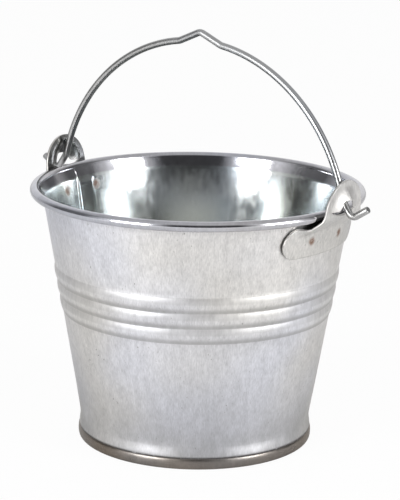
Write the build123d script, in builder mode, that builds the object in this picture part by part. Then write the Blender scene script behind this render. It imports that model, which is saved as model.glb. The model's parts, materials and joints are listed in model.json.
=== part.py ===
"""Small galvanised ice bucket with a wire bail, in millimetres.

Frame: +Z up, origin at the middle of the foot on the surface it stands on.
The two ears and the bail's swing axis lie along X.
"""

from build123d import *
from math import cos, degrees, radians, sin, sqrt, tan
import os

os.makedirs("parts", exist_ok=True)

# ---- driving sizes: body ----
wall_height = 91.5          # height of the rim wire's centre above the surface
rim_radius = 58.5           # from the bucket's axis to the rim wire's centre
rim_wire_diameter = 2.6     # wire rolled into the rim
curl_opening = 50.0         # degrees that the curl turns up again past the wall's side
crease_height = 8.2         # where the taper starts, above the foot ring
crease_radius = 41.8        # outer radius of the wall at the crease
flare_drop = 2.9            # from the rim wire's centre down to where the wall turns out to it
flare_run = 2.9             # from the rim wire's centre in to the wall at that turn
sheet = 0.45                # wall sheet thickness
rib_count = 3
rib_pitch = 5.7
rib_rise = 0.65             # how far a rib stands out of the wall
rib_drop = 26.8             # from the rim wire's centre down to the upper edge of the ribs
lap_width = 8.0             # overlap of the wall's side seam
lap_edge = 181.2            # degrees from +X to the seam's inner edge, behind the left ear
fit_gap = 0.05              # clearance between seated, crimped or welded sheets

# ---- driving sizes: bottom and foot ----
bottom_sheet = 0.5
bottom_height = 3.2         # underside of the bottom above the surface
foot_height = 4.0           # height of the foot ring
foot_sheet = 0.6            # foot ring's sheet under the wall and inside it
foot_wall = 0.9             # foot ring's folded sheet outside the wall
foot_rounding = 0.72        # rounding of the foot ring's outer edges

# ---- driving sizes: ears ----
ear_sheet = 0.8
band_length = 42.0
band_height = 10.8
band_drop = 9.1             # from the rim wire's centre down to the middle of the welded band
step_drop = 4.9             # from the rim wire's centre down to where the ear turns out
tab_foot_drop = 0.9         # from the rim wire's centre down to where the tab turns up again
tab_lean = 6.0              # degrees that the tab leans outwards
tab_radius = 10.8
tab_rise = 1.3              # from the rim wire's centre up to the middle of the tab's round head
tab_root_width = 29.0       # width of the tab where it leaves the band
rim_clearance = 0.7         # between the rim and the tab
hood_radius = 8.3           # of the pressed hood, at its foot
hood_slope = 45.0           # degrees between the hood's side and its axis
lip_play = 1.65             # room above the bail's wire, under the hood's lip
slot_play = 0.85            # room below the bail's wire, in the slot
hood_play = 0.35            # room between the bail's wire and the inside of the hood

# ---- driving sizes: bail ----
bail_wire = 2.5
swing_rise = 2.1            # from the rim wire's centre up to the swing axis
bail_spread = 0.37          # from the rim's outside out to the wire where the arch ends
arch_end_rise = 5.2         # from the swing axis up to where the arch ends
arch_drop = 16.6            # from there down to the arch's centre
grip_half_width = 9.0       # of the raised bend in the middle
grip_rise = 3.3
grip_bend = 3.0
shoulder_bend = 5.0
hook_lead = 2.4             # straight run below the arch
hook_bottom_run = 4.63      # from the arch's end out to the hook's lower corner
hook_bottom_drop = 3.2      # from the swing axis down to that corner
hook_tip_run = 11.13        # from the arch's end out to the hook's tip
hook_tip_rise = 1.0         # from the swing axis up to the tip
hook_bend = 2.2

# ---- values that follow ----
flare_height = wall_height - flare_drop
top_radius = rim_radius - flare_run
rib_start = wall_height - rib_drop - rib_count * rib_pitch
taper = (top_radius - crease_radius) / (flare_height - crease_height)
curl_inner = rim_wire_diameter / 2 + fit_gap
curl_outer = curl_inner + sheet
rim_outer = rim_radius + curl_outer
wall_foot = foot_sheet + fit_gap
foot_radius = crease_radius + fit_gap + foot_wall
swing_height = wall_height + swing_rise


def wall_radius(height):
    """Outer radius of the tapered wall at a height."""
    return crease_radius + taper * (height - crease_height)


def rib_edges():
    """Heights of the lines between the ribs, from the bottom up."""
    return [rib_start + rib_pitch * index for index in range(rib_count + 1)]


def radial_plane(angle):
    """Upright plane through the bucket's axis, turned from +X by an angle in degrees."""
    turn = radians(angle)
    return Plane(origin=(0, 0, 0), x_dir=(cos(turn), sin(turn), 0), z_dir=(sin(turn), -cos(turn), 0))


def draw_wall_line(inset, low, high):
    """Draw the wall's line with its ribs between two heights, moved inwards by an inset."""
    edges = rib_edges()
    Line((wall_radius(low) - inset, low), (wall_radius(edges[0]) - inset, edges[0]))
    for rib_low, rib_high in zip(edges, edges[1:]):
        middle = (rib_low + rib_high) / 2
        ThreePointArc(
            (wall_radius(rib_low) - inset, rib_low),
            (wall_radius(middle) + rib_rise - inset, middle),
            (wall_radius(rib_high) - inset, rib_high),
        )
    Line((wall_radius(edges[-1]) - inset, edges[-1]), (wall_radius(high) - inset, high))


def on_circle(centre, radius, angle):
    """Point on a circle, with the angle in degrees from +X."""
    return (centre[0] + radius * cos(radians(angle)), centre[1] + radius * sin(radians(angle)))


# ---- wall: tapered sheet with ribs, a straight foot and a rim curled round the wire ----
rim_centre = (rim_radius, wall_height)
curl_end = 180 + curl_opening
with BuildPart() as bucket_wall:
    with BuildSketch(Plane.XZ):
        with BuildLine():
            for inset, curl_radius in ((0, curl_inner), (sheet, curl_outer)):
                Line((crease_radius - inset, wall_foot), (crease_radius - inset, crease_height))
                draw_wall_line(inset, crease_height, flare_height)
                rim_turn = on_circle(rim_centre, curl_radius, 180)
                Line((top_radius - inset, flare_height), rim_turn)
                curl_tip = on_circle(rim_centre, curl_radius, curl_end)
                ThreePointArc(rim_turn, on_circle(rim_centre, curl_radius, 20), curl_tip)
            Line((crease_radius - sheet, wall_foot), (crease_radius, wall_foot))
            Line(on_circle(rim_centre, curl_inner, curl_end), on_circle(rim_centre, curl_outer, curl_end))
        make_face()
    revolve(axis=Axis.Z)
    # side seam: the sheet's inner end lies on the inside of the wall
    lap_foot = crease_height + sheet
    lap_top = flare_height - sheet
    with BuildSketch(radial_plane(lap_edge)):
        with BuildLine():
            for inset in (sheet, 2 * sheet):
                draw_wall_line(inset, lap_foot, lap_top)
            for height in (lap_foot, lap_top):
                Line((wall_radius(height) - sheet, height), (wall_radius(height) - 2 * sheet, height))
        make_face()
    revolve(axis=Axis.Z, revolution_arc=-degrees(lap_width / top_radius))

# ---- wire rolled into the rim ----
with BuildPart() as rim_wire:
    with BuildSketch(Plane.XZ):
        with Locations(rim_centre):
            Circle(rim_wire_diameter / 2)
    revolve(axis=Axis.Z)

# ---- bottom: a flat disc with its edge turned down inside the wall ----
flange_radius = crease_radius - sheet - fit_gap
bottom_top = bottom_height + bottom_sheet
with BuildPart() as bottom_disc:
    with BuildSketch(Plane.XY.offset(wall_foot)):
        Circle(flange_radius)
    extrude(amount=bottom_top - wall_foot)
    with BuildSketch(Plane.XY.offset(wall_foot)):
        Circle(flange_radius - bottom_sheet)
    extrude(amount=bottom_height - wall_foot, mode=Mode.SUBTRACT)
    fillet(bottom_disc.edges().filter_by(GeomType.CIRCLE).group_by(Axis.Z)[-1], bottom_sheet * 0.8)

# ---- foot ring: a channel crimped round the lower edge of wall and bottom ----
foot_inner = flange_radius - bottom_sheet - fit_gap - foot_sheet
with BuildPart() as foot_ring:
    with BuildSketch(Plane.XZ):
        with BuildLine():
            Polyline(
                (foot_inner, 0),
                (foot_radius, 0),
                (foot_radius, foot_height),
                (crease_radius + fit_gap, foot_height),
                (crease_radius + fit_gap, foot_sheet),
                (foot_inner + foot_sheet, foot_sheet),
                (foot_inner + foot_sheet, bottom_height - fit_gap),
                (foot_inner, bottom_height - fit_gap),
                close=True,
            )
        make_face()
    revolve(axis=Axis.Z)
    outer_edges = foot_ring.edges().filter_by(GeomType.CIRCLE).sort_by(SortBy.RADIUS)[-2:]
    fillet(outer_edges, min(foot_rounding, foot_wall * 0.8))

# ---- ears: a welded band, a step past the rim and a round tab with a pressed hood ----
def skin_radius(height):
    """Radius of the ear's inner face where it lies on the wall."""
    return wall_radius(height) + fit_gap


band_centre = wall_height - band_drop
step_height = wall_height - step_drop
tab_foot_height = wall_height - tab_foot_drop
tab_centre = wall_height + tab_rise
band_bottom = band_centre - band_height / 2
band_top = band_centre + band_height / 2
band_angle = degrees(band_length / 2 / wall_radius(band_centre)) + 2
tab_foot_radius = rim_outer + rim_clearance
tab_top = tab_centre + tab_radius + 1
lean = tan(radians(tab_lean))
tab_top_radius = tab_foot_radius + (tab_top - tab_foot_height) * lean
step_run = tab_foot_radius - skin_radius(step_height)
step_rise = tab_foot_height - step_height

# the bail's wire runs down inside the hood, so the hood stands clear of it
bail_start = (rim_outer + bail_spread, swing_height + arch_end_rise)
bail_centre = bail_start[1] - arch_drop
bail_radius = sqrt(bail_start[0] ** 2 + arch_drop**2)
bail_slope = Vector(arch_drop, -bail_start[0]).normalized()
hook_top = (bail_start[0] + hook_lead * bail_slope.X, bail_start[1] + hook_lead * bail_slope.Y)
hook_bottom = (bail_start[0] + hook_bottom_run, swing_height - hook_bottom_drop)
hook_tip = (bail_start[0] + hook_tip_run, swing_height + hook_tip_rise)
hood_inner = hook_top[0] + bail_wire / 2 + hood_play
tab_at_axis = tab_foot_radius + (swing_height - tab_foot_height) * lean
hood_depth = hood_inner - tab_at_axis
lip_height = swing_height + bail_wire / 2 + lip_play
slot_bottom = swing_height - bail_wire / 2 - slot_play
lip_plane = Plane.XY.offset(lip_height)
tab_normal = (cos(radians(tab_lean)), 0, -sin(radians(tab_lean)))
tab_face = Plane(origin=(tab_at_axis, 0, swing_height), x_dir=(0, 1, 0), z_dir=tab_normal)

# the hood's metal and the room under it are the same shape, one sheet apart
with BuildPart() as hood_shape:
    with BuildSketch(tab_face.offset(ear_sheet)):
        Circle(hood_radius)
    extrude(amount=hood_depth, taper=hood_slope)
    with BuildSketch(tab_face):
        Circle(hood_radius)
    extrude(amount=ear_sheet)
    split(bisect_by=lip_plane, keep=Keep.TOP)

with BuildPart() as hood_room:
    with BuildSketch(tab_face):
        Circle(hood_radius)
    extrude(amount=hood_depth, taper=hood_slope)
    with BuildSketch(tab_face):
        Circle(hood_radius)
    extrude(amount=-ear_sheet)
    split(bisect_by=lip_plane, keep=Keep.TOP)

with BuildPart() as band:
    with BuildSketch(radial_plane(-band_angle)):
        with BuildLine():
            Polyline(
                (skin_radius(band_bottom), band_bottom),
                (skin_radius(band_top), band_top),
                (skin_radius(band_top) + ear_sheet, band_top),
                (skin_radius(band_bottom) + ear_sheet, band_bottom),
                close=True,
            )
        make_face()
    revolve(axis=Axis.Z, revolution_arc=2 * band_angle)
    with BuildSketch(Plane.YZ.offset(wall_radius(band_bottom) / 2)):
        with Locations((0, band_centre)):
            SlotOverall(band_length, band_height)
    extrude(amount=wall_radius(band_top), mode=Mode.INTERSECT)

with BuildPart() as ear:
    # stepped sheet, seen along Y
    with BuildSketch(Plane.XZ):
        with BuildLine():
            sheet_line = FilletPolyline(
                (skin_radius(step_height) - step_run / 2, step_height - step_rise / 2),
                (tab_foot_radius, tab_foot_height),
                (tab_top_radius, tab_top),
                radius=ear_sheet,
            )
            offset(sheet_line, amount=ear_sheet, side=Side.RIGHT)
        make_face()
    extrude(amount=tab_root_width / 2, both=True)
    # outline of the tab, seen along X
    with BuildSketch(Plane.YZ):
        with BuildLine():
            Polyline(
                (-tab_radius, tab_centre),
                (-tab_root_width / 2, step_height - step_rise),
                (tab_root_width / 2, step_height - step_rise),
                (tab_radius, tab_centre),
            )
            ThreePointArc((tab_radius, tab_centre), (0, tab_centre + tab_radius), (-tab_radius, tab_centre))
        make_face()
    extrude(amount=2 * rim_radius, mode=Mode.INTERSECT)
    # the step ends on the wall
    with BuildSketch(Plane.XZ):
        with BuildLine():
            Polyline(
                (0, 0),
                (skin_radius(0), 0),
                (skin_radius(tab_foot_height), tab_foot_height),
                (0, tab_foot_height),
                close=True,
            )
        make_face()
    revolve(axis=Axis.Z, mode=Mode.SUBTRACT)
    add(band.part)
    add(hood_shape.part)
    add(hood_room.part, mode=Mode.SUBTRACT)
    # slot below the hood's lip, where the wire comes out
    with BuildSketch(Plane.YZ):
        with BuildLine():
            slot_line = ThreePointArc(
                (-hood_radius, swing_height),
                (0, slot_bottom),
                (hood_radius, swing_height),
            )
            Polyline(
                slot_line @ 1,
                (hood_radius, lip_height),
                (-hood_radius, lip_height),
                slot_line @ 0,
            )
        make_face()
    extrude(amount=2 * rim_radius, mode=Mode.SUBTRACT)

right_ear = ear.part
left_ear = ear.part.rotate(Axis.Z, 180)

# ---- bail: one wire, arched, with a raised bend to hold it by and a hook at each end ----
shoulder_height = bail_centre + sqrt(bail_radius**2 - grip_half_width**2)
grip_top = bail_centre + bail_radius + grip_rise
with BuildPart() as bail_handle:
    with BuildLine(Plane.XZ) as bail_line:
        for side in (1, -1):
            shoulder = (side * grip_half_width, shoulder_height)
            Line((0, grip_top), shoulder)
            haunch = (side * bail_radius * sin(radians(45)), bail_centre + bail_radius * cos(radians(45)))
            ThreePointArc(shoulder, haunch, (side * bail_start[0], bail_start[1]))
            FilletPolyline(
                (side * bail_start[0], bail_start[1]),
                (side * hook_top[0], hook_top[1]),
                (side * hook_bottom[0], hook_bottom[1]),
                (side * hook_tip[0], hook_tip[1]),
                radius=hook_bend,
            )
        bends = bail_line.vertices().filter_by(lambda corner: abs(corner.X) < grip_half_width / 2)
        fillet(bends, grip_bend)
        shoulders = bail_line.vertices().filter_by(lambda corner: abs(abs(corner.X) - grip_half_width) < 0.01)
        fillet(shoulders, shoulder_bend)
    bail_path = bail_line.wires()[0]
    with BuildSketch(Plane(origin=bail_path @ 0, z_dir=bail_path % 0)):
        Circle(bail_wire / 2)
    sweep(path=bail_path)

# ---- export ----
pieces = {
    "bucket_wall": bucket_wall.part,
    "rim_wire": rim_wire.part,
    "bottom_disc": bottom_disc.part,
    "foot_ring": foot_ring.part,
    "right_ear": right_ear,
    "left_ear": left_ear,
    "bail_handle": bail_handle.part,
}
for name, piece in pieces.items():
    piece.label = name
    export_step(piece, f"parts/{name}.step")
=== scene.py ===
"""Looks of a small galvanised ice bucket: its sheet-metal body, ears and wire bail.

Lengths are in millimetres until a mesh is made, and in metres after that.
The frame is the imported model's: +Z up, the ears and the swing axis along X.
"""

import json
import logging
from dataclasses import dataclass, field
from enum import Enum
from typing import Optional, Union

import bmesh
import bpy
import numpy as np
from mathutils import Matrix, Vector


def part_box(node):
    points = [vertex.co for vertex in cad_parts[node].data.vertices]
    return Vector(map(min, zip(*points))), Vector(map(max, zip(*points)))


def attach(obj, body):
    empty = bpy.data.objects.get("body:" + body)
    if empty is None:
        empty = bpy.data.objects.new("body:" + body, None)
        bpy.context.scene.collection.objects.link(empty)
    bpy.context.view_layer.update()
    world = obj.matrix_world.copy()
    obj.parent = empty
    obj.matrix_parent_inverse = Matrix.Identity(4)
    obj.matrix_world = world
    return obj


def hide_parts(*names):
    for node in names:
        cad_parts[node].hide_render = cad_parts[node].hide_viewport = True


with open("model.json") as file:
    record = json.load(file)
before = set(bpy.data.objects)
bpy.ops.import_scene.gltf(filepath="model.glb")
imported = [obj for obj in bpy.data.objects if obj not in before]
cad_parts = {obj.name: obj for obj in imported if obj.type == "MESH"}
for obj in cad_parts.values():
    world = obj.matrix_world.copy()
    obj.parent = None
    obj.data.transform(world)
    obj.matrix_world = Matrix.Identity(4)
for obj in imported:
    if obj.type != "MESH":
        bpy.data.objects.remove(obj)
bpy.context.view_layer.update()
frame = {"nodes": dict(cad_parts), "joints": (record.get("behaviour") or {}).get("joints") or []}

log = logging.getLogger("bucket")
MM = 0.001
Array = np.ndarray
Pair = tuple[float, float]
Triple = tuple[float, float, float]


# ---------------------------------------------------------------- numbers

def smoothstep(low: float, high: float, value: Array) -> Array:
    """Return 0 below low and 1 above high, with a cubic run between them.

    Args:
        low: value where the run starts.
        high: value where the run ends.
        value: numbers to map.

    Returns:
        The mapped numbers, between 0 and 1.
    """
    run = np.clip((value - low) / (high - low), 0.0, 1.0)
    return run * run * (3.0 - 2.0 * run)


def soft_max(first: Array, second: Array, blend: float) -> Array:
    """Return the larger of two surfaces, rounded where they cross.

    The rounding is half the sum plus half the root of the squared difference and squared blend.

    Args:
        first: one surface's values.
        second: the other surface's values.
        blend: size of the rounding, in the values' unit.

    Returns:
        The rounded maximum.
    """
    return 0.5 * (first + second + np.sqrt((first - second) ** 2 + blend * blend))


def soft_min(first: Array, second: Array, blend: float) -> Array:
    """Return the smaller of two surfaces, rounded where they cross."""
    return -soft_max(-first, -second, blend)


def arc(centre: Pair, radius: float, start: float, end: float, count: int) -> Array:
    """Return points on a circle: the centre plus radius times cosine and sine of the angle.

    Args:
        centre: circle's centre.
        radius: circle's radius.
        start: first angle in degrees.
        end: last angle in degrees.
        count: number of points.

    Returns:
        An array of count points.
    """
    angle = np.radians(np.linspace(start, end, count))
    return np.asarray(centre) + radius * np.stack([np.cos(angle), np.sin(angle)], axis=1)


def rounded_path(corners: Array, radii: list[float], count: int) -> Array:
    """Return a line through corners in which each inner corner is a tangent arc.

    An arc starts radius times the tangent of half the turn before its corner and ends as far
    after it, and its points turn evenly from the first direction to the second.

    Args:
        corners: the line's corners, one row each.
        radii: the arc's radius at each inner corner.
        count: points along each arc.

    Returns:
        The line's points, in order.
    """
    parts = [corners[:1]]
    for corner, before, after, radius in zip(corners[1:-1], corners[:-2], corners[2:], radii):
        way_in = (corner - before) / np.linalg.norm(corner - before)
        way_out = (after - corner) / np.linalg.norm(after - corner)
        turn = np.arctan2(way_in[0] * way_out[1] - way_in[1] * way_out[0], way_in @ way_out)
        start = corner - way_in * radius * np.tan(abs(turn) / 2.0)
        normal = np.sign(turn) * np.array([-way_in[1], way_in[0]])
        angle = np.linspace(0.0, abs(turn), count)[:, None]
        parts.append(start + radius * (np.sin(angle) * way_in + (1.0 - np.cos(angle)) * normal))
    parts.append(corners[-1:])
    return np.concatenate(parts)


def path_length(points: Array) -> Array:
    """Return the distance along a line of points, starting at 0."""
    steps = np.linalg.norm(np.diff(points, axis=0), axis=1)
    return np.concatenate([[0.0], np.cumsum(steps)])


# ---------------------------------------------------------------- meshes

@dataclass
class Surface:
    """A surface on a grid of points, as quads.

    Attributes:
        points: rows by columns by 3, in millimetres.
        wraps_rows: whether the last row joins the first.
        wraps_columns: whether the last column joins the first.
        keep: which quads stay, as rows by columns, or None for all.
        slots: each quad's material slot, or None for the first.
        unroll: distances along the rows and columns for the UV map, in millimetres.
    """

    points: Array
    wraps_rows: bool = False
    wraps_columns: bool = False
    keep: Optional[Array] = None
    slots: Optional[Array] = None
    unroll: Optional[tuple[Array, Array]] = None

    def quads(self) -> tuple[Array, Array]:
        """Number the corners of the quads.

        Returns:
            Each quad's four point numbers, and its row and column.
        """
        rows, columns = self.points.shape[:2]
        row = np.arange(rows if self.wraps_rows else rows - 1)
        column = np.arange(columns if self.wraps_columns else columns - 1)
        row, column = (axis.ravel() for axis in np.meshgrid(row, column, indexing="ij"))
        next_row, next_column = (row + 1) % rows, (column + 1) % columns
        corners = np.stack([row * columns + column, row * columns + next_column,
                            next_row * columns + next_column, next_row * columns + column], axis=1)
        return corners, np.stack([row, column], axis=1)

    def build(self, name: str, smooth: bool = True) -> bpy.types.Object:
        """Make the surface a mesh object in the scene.

        Args:
            name: the object's name.
            smooth: whether the faces are shaded smooth.

        Returns:
            The new object, at the origin.
        """
        corners, cells = self.quads()
        if self.keep is not None:
            chosen = self.keep[cells[:, 0], cells[:, 1]]
            corners, cells = corners[chosen], cells[chosen]
        mesh = bpy.data.meshes.new(name)
        mesh.vertices.add(self.points.shape[0] * self.points.shape[1])
        mesh.vertices.foreach_set("co", (self.points * MM).astype(np.float32).ravel())
        mesh.loops.add(corners.size)
        mesh.loops.foreach_set("vertex_index", corners.astype(np.int32).ravel())
        mesh.polygons.add(len(corners))
        mesh.polygons.foreach_set("loop_start", np.arange(len(corners), dtype=np.int32) * 4)
        mesh.polygons.foreach_set("use_smooth", np.full(len(corners), smooth))
        if self.slots is not None:
            slots = self.slots[cells[:, 0], cells[:, 1]].astype(np.int32)
            mesh.polygons.foreach_set("material_index", slots)
        if self.unroll is not None:
            along, around = self.unroll
            step_row = np.array([0, 0, 1, 1])
            step_column = np.array([0, 1, 1, 0])
            u = around[cells[:, 1:] + step_column]
            v = along[cells[:, :1] + step_row]
            layer = mesh.uv_layers.new(name="sheet")
            layer.data.foreach_set("uv", (np.stack([u, v], axis=2) * MM).astype(np.float32).ravel())
        mesh.update(calc_edges=True)
        mesh.validate()
        piece = bpy.data.objects.new(name, mesh)
        bpy.context.scene.collection.objects.link(piece)
        return piece


def join_doubles(piece: bpy.types.Object, distance: float = 1e-7) -> None:
    """Merge points of a piece that lie on each other, and drop loose ones.

    Args:
        piece: the object whose mesh is cleaned.
        distance: how near two points count as one, in metres.
    """
    work = bmesh.new()
    work.from_mesh(piece.data)
    bmesh.ops.remove_doubles(work, verts=work.verts, dist=distance)
    loose = [vert for vert in work.verts if not vert.link_faces]
    bmesh.ops.delete(work, geom=loose, context="VERTS")
    work.to_mesh(piece.data)
    work.free()


# ---------------------------------------------------------------- shader maths

Number = Union[float, "Value"]


class Value:
    """A number that a shader works out; arithmetic on it adds Math nodes."""

    def __init__(self, graph: "Graph", socket: bpy.types.NodeSocket) -> None:
        """Wrap a socket of a graph."""
        self.graph = graph
        self.socket = socket

    def math(self, operation: str, *others: Number, swap: bool = False) -> "Value":
        """Add a Math node.

        Args:
            operation: the node's operation.
            others: its other inputs.
            swap: whether this value comes last.

        Returns:
            The node's result.
        """
        inputs = (*others, self) if swap else (self, *others)
        settings = {"operation": operation}
        return self.graph.node("ShaderNodeMath", settings, dict(enumerate(inputs))).value()

    def __add__(self, other: Number) -> "Value":
        """Add."""
        return self.math("ADD", other)

    __radd__ = __add__

    def __sub__(self, other: Number) -> "Value":
        """Subtract."""
        return self.math("SUBTRACT", other)

    def __rsub__(self, other: Number) -> "Value":
        """Subtract this value from another."""
        return self.math("SUBTRACT", other, swap=True)

    def __mul__(self, other: Number) -> "Value":
        """Multiply."""
        return self.math("MULTIPLY", other)

    __rmul__ = __mul__

    def ramp(self, low: float, high: float) -> "Value":
        """Return 0 below low and 1 above high, with a smooth run between them.

        Args:
            low: value where the run starts.
            high: value where the run ends.

        Returns:
            The mapped value.
        """
        settings = {"interpolation_type": "SMOOTHSTEP"}
        inputs = {"Value": self, "From Min": low, "From Max": high, "To Min": 0.0, "To Max": 1.0}
        return self.graph.node("ShaderNodeMapRange", settings, inputs).value()

    def largest(self, other: Number) -> "Value":
        """Return the larger of this value and another."""
        return self.math("MAXIMUM", other)


class Made:
    """A node that was added, with its results by name."""

    def __init__(self, graph: "Graph", node: bpy.types.Node) -> None:
        """Wrap a node of a graph."""
        self.graph = graph
        self.node = node

    def socket(self, name: Union[str, int] = 0) -> bpy.types.NodeSocket:
        """Return an output socket."""
        return self.node.outputs[name]

    def value(self, name: Union[str, int] = 0) -> Value:
        """Return an output as a number."""
        return Value(self.graph, self.node.outputs[name])


class Graph:
    """A material's or world's node tree."""

    def __init__(self, tree: bpy.types.NodeTree) -> None:
        """Empty a node tree and hold it."""
        tree.nodes.clear()
        self.tree = tree

    def node(self, kind: str, settings: Optional[dict] = None,
             inputs: Optional[dict] = None) -> Made:
        """Add a node, set it and fill its sockets.

        Args:
            kind: the node's type.
            settings: its properties, set before its sockets; "stops" holds a ramp's stops.
            inputs: values, colours, Values or sockets, by socket name or number.

        Returns:
            The node.
        """
        node = self.tree.nodes.new(kind)
        for name, setting in (settings or {}).items():
            if name == "stops":
                ramp = node.color_ramp
                while len(ramp.elements) < len(setting):
                    ramp.elements.new(0.5)
                for element, (place, colour) in zip(ramp.elements, setting):
                    element.position, element.color = place, (*colour, 1.0)
            else:
                setattr(node, name, setting)
        for name, given in (inputs or {}).items():
            target = node.inputs[name]
            if isinstance(given, Value):
                self.tree.links.new(given.socket, target)
            elif isinstance(given, bpy.types.NodeSocket):
                self.tree.links.new(given, target)
            else:
                target.default_value = given
        return Made(self, node)

    def mix(self, factor: Number, first: object, second: object,
            blend: str = "MIX") -> bpy.types.NodeSocket:
        """Mix two colours.

        Args:
            factor: share of the second colour.
            first: a colour socket or three numbers.
            second: a colour socket or three numbers.
            blend: the way they are mixed.

        Returns:
            The mixed colour.
        """
        one, other = ((*given, 1.0) if isinstance(given, tuple) else given
                      for given in (first, second))
        settings = {"data_type": "RGBA", "blend_type": blend}
        return self.node("ShaderNodeMix", settings, {0: factor, 6: one, 7: other}).socket(2)

    def noise(self, vector: bpy.types.NodeSocket, scale: float, detail: float = 2.0,
              roughness: float = 0.5) -> Value:
        """Return a noise between 0 and 1 over a vector."""
        inputs = {"Vector": vector, "Scale": scale, "Detail": detail, "Roughness": roughness}
        return self.node("ShaderNodeTexNoise", {}, inputs).value("Fac")

    def stretched(self, vector: bpy.types.NodeSocket, scale: Triple) -> bpy.types.NodeSocket:
        """Return a vector with each axis multiplied by its own number."""
        settings = {"operation": "MULTIPLY"}
        return self.node("ShaderNodeVectorMath", settings, {0: vector, 1: scale}).socket(0)

    def place(self) -> bpy.types.NodeSocket:
        """Return the point's place on the object, in metres."""
        return self.node("ShaderNodeTexCoord").socket("Object")

    def height(self) -> Value:
        """Return the point's height on the object, in metres."""
        return self.node("ShaderNodeSeparateXYZ", {}, {0: self.place()}).value(2)

    def sheet(self) -> bpy.types.NodeSocket:
        """Return the piece's own unrolled coordinates, in metres."""
        return self.node("ShaderNodeUVMap", {"uv_map": "sheet"}).socket(0)

    def near(self, centre: Triple, inner: float, outer: float) -> Value:
        """Return 1 within inner of a point and 0 beyond outer.

        Args:
            centre: the point, in millimetres.
            inner: radius of the full spot, in millimetres.
            outer: radius where it has faded, in millimetres.

        Returns:
            The spot's strength.
        """
        point = tuple(number * MM for number in centre)
        inputs = {0: self.place(), 1: point}
        away = self.node("ShaderNodeVectorMath", {"operation": "DISTANCE"}, inputs)
        return 1.0 - away.value("Value").ramp(inner * MM, outer * MM)

    def bump(self, height: Value, depth: float) -> bpy.types.NodeSocket:
        """Return a normal from a height between 0 and 1 that stands for depth in millimetres."""
        inputs = {"Height": height, "Distance": depth * MM, "Strength": 1.0}
        return self.node("ShaderNodeBump", {}, inputs).socket(0)


# ---------------------------------------------------------------- finishes

class Grain(Enum):
    """Which coordinate a finish's grain follows."""

    UNROLLED = "unrolled"
    ON_PLACE = "on place"


# How tightly each noise is drawn along its three axes, in waves a metre.
FINE_GRAIN = {Grain.UNROLLED: (2300.0, 560.0, 1.0), Grain.ON_PLACE: (2300.0, 2300.0, 560.0)}
WIDE_GRAIN = {Grain.UNROLLED: (760.0, 60.0, 1.0), Grain.ON_PLACE: (700.0, 700.0, 60.0)}
MOTTLE_SCALE = (460.0, 460.0, 210.0)
PIT_SCALE = (1500.0, 1500.0, 900.0)
PIT_GROUP_SCALE = 95.0
CLOUD_SCALE = 55.0
DRIFT_SCALE = 21.0
MARK_SCALE = 900.0

# The painted shade in the gap between the wall and the foot ring, the height in millimetres
# over which it fades, and the rust-brown of a spot weld.
JOINT_SHADE = (0.05, 0.045, 0.04)
JOINT_FADE = 0.9
WELD_BROWN = (0.22, 0.115, 0.07)


@dataclass(frozen=True)
class Patterns:
    """The noises that a finish is mixed from, each between 0 and 1.

    Attributes:
        place: the point's place on the object.
        fine: fine drawn grain.
        wide: wide drawn grain.
        cloud: soft clouds.
        mottle: small blotches.
        drift: slow drift between the two tints.
        pits: small dark pits, in groups.
    """

    place: bpy.types.NodeSocket
    fine: Value
    wide: Value
    cloud: Value
    mottle: Value
    drift: Value
    pits: Value


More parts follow.
